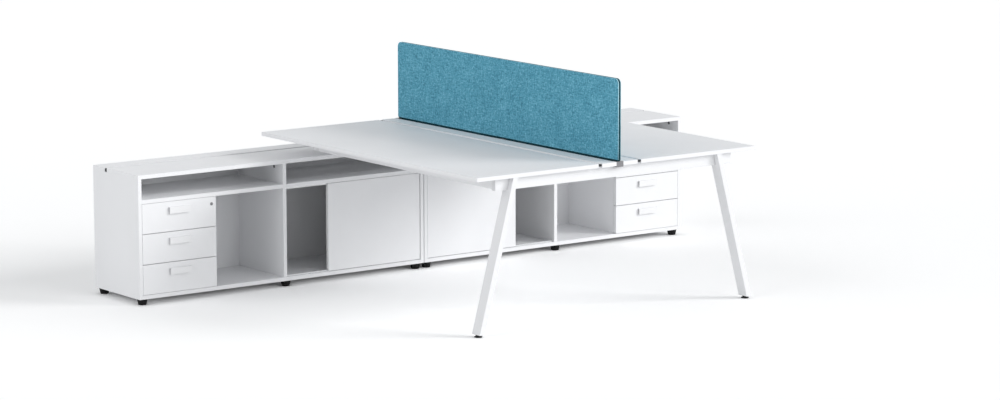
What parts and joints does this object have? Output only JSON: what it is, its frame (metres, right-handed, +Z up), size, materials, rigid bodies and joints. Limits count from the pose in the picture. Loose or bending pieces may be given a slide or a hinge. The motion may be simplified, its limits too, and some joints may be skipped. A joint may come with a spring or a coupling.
{
  "type": "bench desk on storage cabinets",
  "caption": "Face-to-face white bench desk with a fabric centre screen and a splayed-leg end, its other end carried over low storage cabinets with drawers and sliding doors.",
  "frame": {"origin": "on the floor, under the middle of the outer box", "axes": "+X along the worktops from the cabinets to the splayed legs, +Y along the cabinets from the near end to the far end, +Z up"},
  "size_m": [2.005, 3.304, 1.127],
  "materials": {
    "white_laminate": "white melamine-faced board, satin",
    "drawer_board": "white foil-faced board",
    "white_steel": "white powder coat, fine texture",
    "white_pull": "white powder-coated sheet",
    "grey_metal": "satin anodised",
    "track_metal": "mill finish",
    "lock_metal": "satin nickel",
    "teal_fabric": "melange wool felt",
    "dark_teal": "dark edge of the screen",
    "black_plastic": "moulded, matt",
    "dark_plastic": "moulded, matt",
    "pale_plastic": "moulded, matt"
  },
  "bodies": {
    "desk_and_cabinets": {"near_worktop": "white_laminate", "far_worktop": "white_laminate", "centre_strips": "white_laminate", "end_crossbar": "white_steel", "cabinet_cross_tubes": "white_steel", "long_rails": "white_steel", "riser_posts": "white_steel", "near_leg": "white_steel", "far_leg": "white_steel", "tube_end_plugs": "pale_plastic", "leg_glides": "dark_plastic", "slot_end_caps": "dark_plastic", "drawer_partitions": "white_laminate", "screen_near_face": "teal_fabric", "screen_far_face": "teal_fabric", "screen_core": "dark_teal", "screen_brackets": "grey_metal", "near_top_board": "white_laminate", "near_outer_end_panel": "white_laminate", "near_inner_end_panel": "white_laminate", "near_divider": "white_laminate", "near_bottom_board": "white_laminate", "near_back_panel": "white_laminate", "near_shelves": "white_laminate", "far_top_board": "white_laminate", "far_outer_end_panel": "white_laminate", "far_inner_end_panel": "white_laminate", "far_divider": "white_laminate", "far_bottom_board": "white_laminate", "far_back_panel": "white_laminate", "far_shelves": "white_laminate", "drawer_runners": "track_metal", "door_tracks": "track_metal", "cabinet_rear_strips": "white_laminate", "cabinet_feet": "black_plastic", "fitting_caps": "dark_plastic"},
    "near_bottom_drawer": {"near_bottom_drawer_front": "white_laminate", "near_bottom_drawer_box": "drawer_board", "near_bottom_drawer_handle": "white_pull"},
    "near_middle_drawer": {"near_middle_drawer_front": "white_laminate", "near_middle_drawer_box": "drawer_board", "near_middle_drawer_handle": "white_pull"},
    "near_top_drawer": {"near_top_drawer_front": "white_laminate", "near_top_drawer_box": "drawer_board", "near_top_drawer_handle": "white_pull"},
    "near_lock": {"near_lock": "lock_metal"},
    "near_door": {"near_door": "white_laminate", "near_door_glides": "pale_plastic"},
    "far_bottom_drawer": {"far_bottom_drawer_front": "white_laminate", "far_bottom_drawer_box": "drawer_board", "far_bottom_drawer_handle": "white_pull"},
    "far_middle_drawer": {"far_middle_drawer_front": "white_laminate", "far_middle_drawer_box": "drawer_board", "far_middle_drawer_handle": "white_pull"},
    "far_top_drawer": {"far_top_drawer_front": "white_laminate", "far_top_drawer_box": "drawer_board", "far_top_drawer_handle": "white_pull"},
    "far_lock": {"far_lock": "lock_metal"},
    "far_door": {"far_door": "white_laminate", "far_door_glides": "pale_plastic"}
  },
  "joints": [
    {"name": "near_bottom_drawer_slide", "type": "slide", "parent": "desk_and_cabinets", "child": "near_bottom_drawer", "axis": [1, 0, 0], "range_m": [0, 0.3]},
    {"name": "near_middle_drawer_slide", "type": "slide", "parent": "desk_and_cabinets", "child": "near_middle_drawer", "axis": [1, 0, 0], "range_m": [0, 0.3]},
    {"name": "near_top_drawer_slide", "type": "slide", "parent": "desk_and_cabinets", "child": "near_top_drawer", "axis": [1, 0, 0], "range_m": [0, 0.3]},
    {"name": "near_lock_turn", "type": "hinge", "parent": "near_top_drawer", "child": "near_lock", "pos_m": [-0.59, -1.246, 0.4545], "axis": [1, 0, 0], "range_deg": [0, 90]},
    {"name": "near_door_slide", "type": "slide", "parent": "desk_and_cabinets", "child": "near_door", "axis": [0, -1, 0], "range_m": [0, 0.234]},
    {"name": "far_bottom_drawer_slide", "type": "slide", "parent": "desk_and_cabinets", "child": "far_bottom_drawer", "axis": [1, 0, 0], "range_m": [0, 0.3]},
    {"name": "far_middle_drawer_slide", "type": "slide", "parent": "desk_and_cabinets", "child": "far_middle_drawer", "axis": [1, 0, 0], "range_m": [0, 0.3]},
    {"name": "far_top_drawer_slide", "type": "slide", "parent": "desk_and_cabinets", "child": "far_top_drawer", "axis": [1, 0, 0], "range_m": [0, 0.3]},
    {"name": "far_lock_turn", "type": "hinge", "parent": "far_top_drawer", "child": "far_lock", "pos_m": [-0.59, 1.246, 0.4545], "axis": [1, 0, 0], "range_deg": [0, 90]},
    {"name": "far_door_slide", "type": "slide", "parent": "desk_and_cabinets", "child": "far_door", "axis": [0, 1, 0], "range_m": [0, 0.234]}
  ]
}
